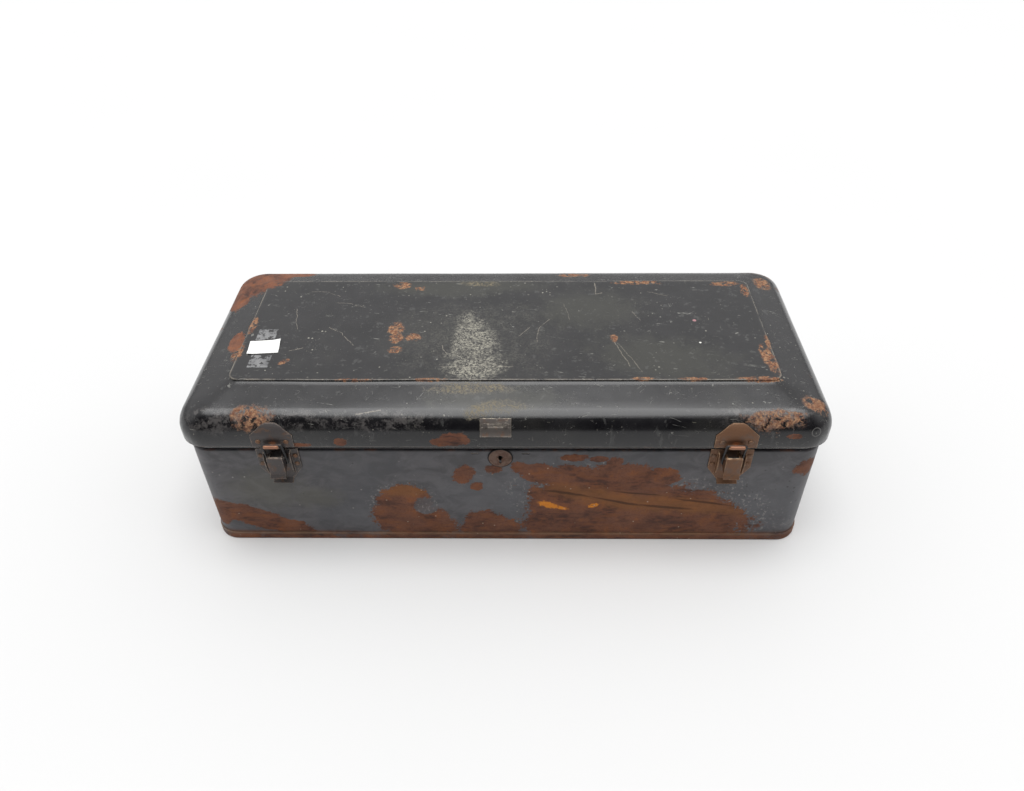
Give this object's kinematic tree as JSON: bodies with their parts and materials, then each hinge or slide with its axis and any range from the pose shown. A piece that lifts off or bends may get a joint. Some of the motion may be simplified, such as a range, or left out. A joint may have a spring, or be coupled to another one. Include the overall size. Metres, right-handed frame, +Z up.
{
  "type": "truck tool box",
  "caption": "Pressed-steel truck tool box with a hinged domed lid, two over-centre draw latches and a key lock.",
  "frame": {"origin": "centre of the underside of the floor plate", "axes": "+X along the length, +Z up; the latches and the lock face -Y"},
  "size_m": [0.61, 0.2768, 0.18],
  "materials": {
    "body_paint": "worn semi-gloss black paint with rust patches",
    "lid_paint": "worn gloss black paint, finely scratched",
    "black_fittings": "black paint worn to brown steel",
    "worn_fittings": "aged brown steel, worn bright on the edges",
    "plain_steel": "bare steel, dulled"
  },
  "bodies": {
    "box": {"body_shell": "body_paint", "base_band": "body_paint", "floor_plate": "body_paint", "lock_face": "worn_fittings", "lock_case": "plain_steel", "hinge_body_leaf_left": "black_fittings", "hinge_body_leaf_right": "black_fittings", "hinge_pin_left": "plain_steel", "hinge_pin_right": "plain_steel", "hinge_body_rivets": "black_fittings", "latch_base_left": "worn_fittings", "latch_base_right": "worn_fittings", "latch_pin_left": "plain_steel", "latch_pin_right": "plain_steel", "latch_base_rivets": "worn_fittings"},
    "lid": {"lid_shell": "lid_paint", "lid_lift_tab": "worn_fittings", "lift_tab_rivets": "worn_fittings", "lid_strike": "plain_steel", "hinge_lid_leaf_left": "black_fittings", "hinge_lid_leaf_right": "black_fittings", "hinge_lid_rivets": "black_fittings", "keeper_left": "worn_fittings", "keeper_right": "worn_fittings", "keeper_rivets": "worn_fittings"},
    "lever_left": {"latch_lever_left": "worn_fittings"},
    "bail_left": {"latch_bail_left": "plain_steel"},
    "lever_right": {"latch_lever_right": "worn_fittings"},
    "bail_right": {"latch_bail_right": "plain_steel"},
    "key_barrel": {"lock_barrel": "plain_steel"},
    "bolt": {"lock_bolt": "plain_steel"}
  },
  "joints": [
    {"name": "lid_hinge", "type": "hinge", "parent": "box", "child": "lid", "pos_m": [0, 0.1333, 0.134], "axis": [-1, 0, 0], "range_deg": [0, 105]},
    {"name": "lever_left_pivot", "type": "hinge", "parent": "box", "child": "lever_left", "pos_m": [-0.213, -0.132, 0.124], "axis": [-1, 0, 0], "range_deg": [0, 95]},
    {"name": "bail_left_pivot", "type": "hinge", "parent": "lever_left", "child": "bail_left", "pos_m": [-0.213, -0.1295, 0.1155], "axis": [-1, 0, 0], "range_deg": [-67, 0]},
    {"name": "lever_right_pivot", "type": "hinge", "parent": "box", "child": "lever_right", "pos_m": [0.213, -0.132, 0.124], "axis": [-1, 0, 0], "range_deg": [0, 95]},
    {"name": "bail_right_pivot", "type": "hinge", "parent": "lever_right", "child": "bail_right", "pos_m": [0.213, -0.1295, 0.1155], "axis": [-1, 0, 0], "range_deg": [-67, 0]},
    {"name": "key_turn", "type": "hinge", "parent": "box", "child": "key_barrel", "pos_m": [-0.0033, -0.115, 0.119], "axis": [0, -1, 0], "range_deg": [0, 90]},
    {"name": "bolt_slide", "type": "slide", "parent": "box", "child": "bolt", "axis": [1, 0, 0], "range_m": [0, 0.009]}
  ],
  "couplings": [
    {"joint": "bail_left_pivot", "follows": "lever_left_pivot", "ratio": -0.7},
    {"joint": "bail_right_pivot", "follows": "lever_right_pivot", "ratio": -0.7},
    {"joint": "bolt_slide", "follows": "key_turn", "m_per_rad": 0.005093}
  ]
}
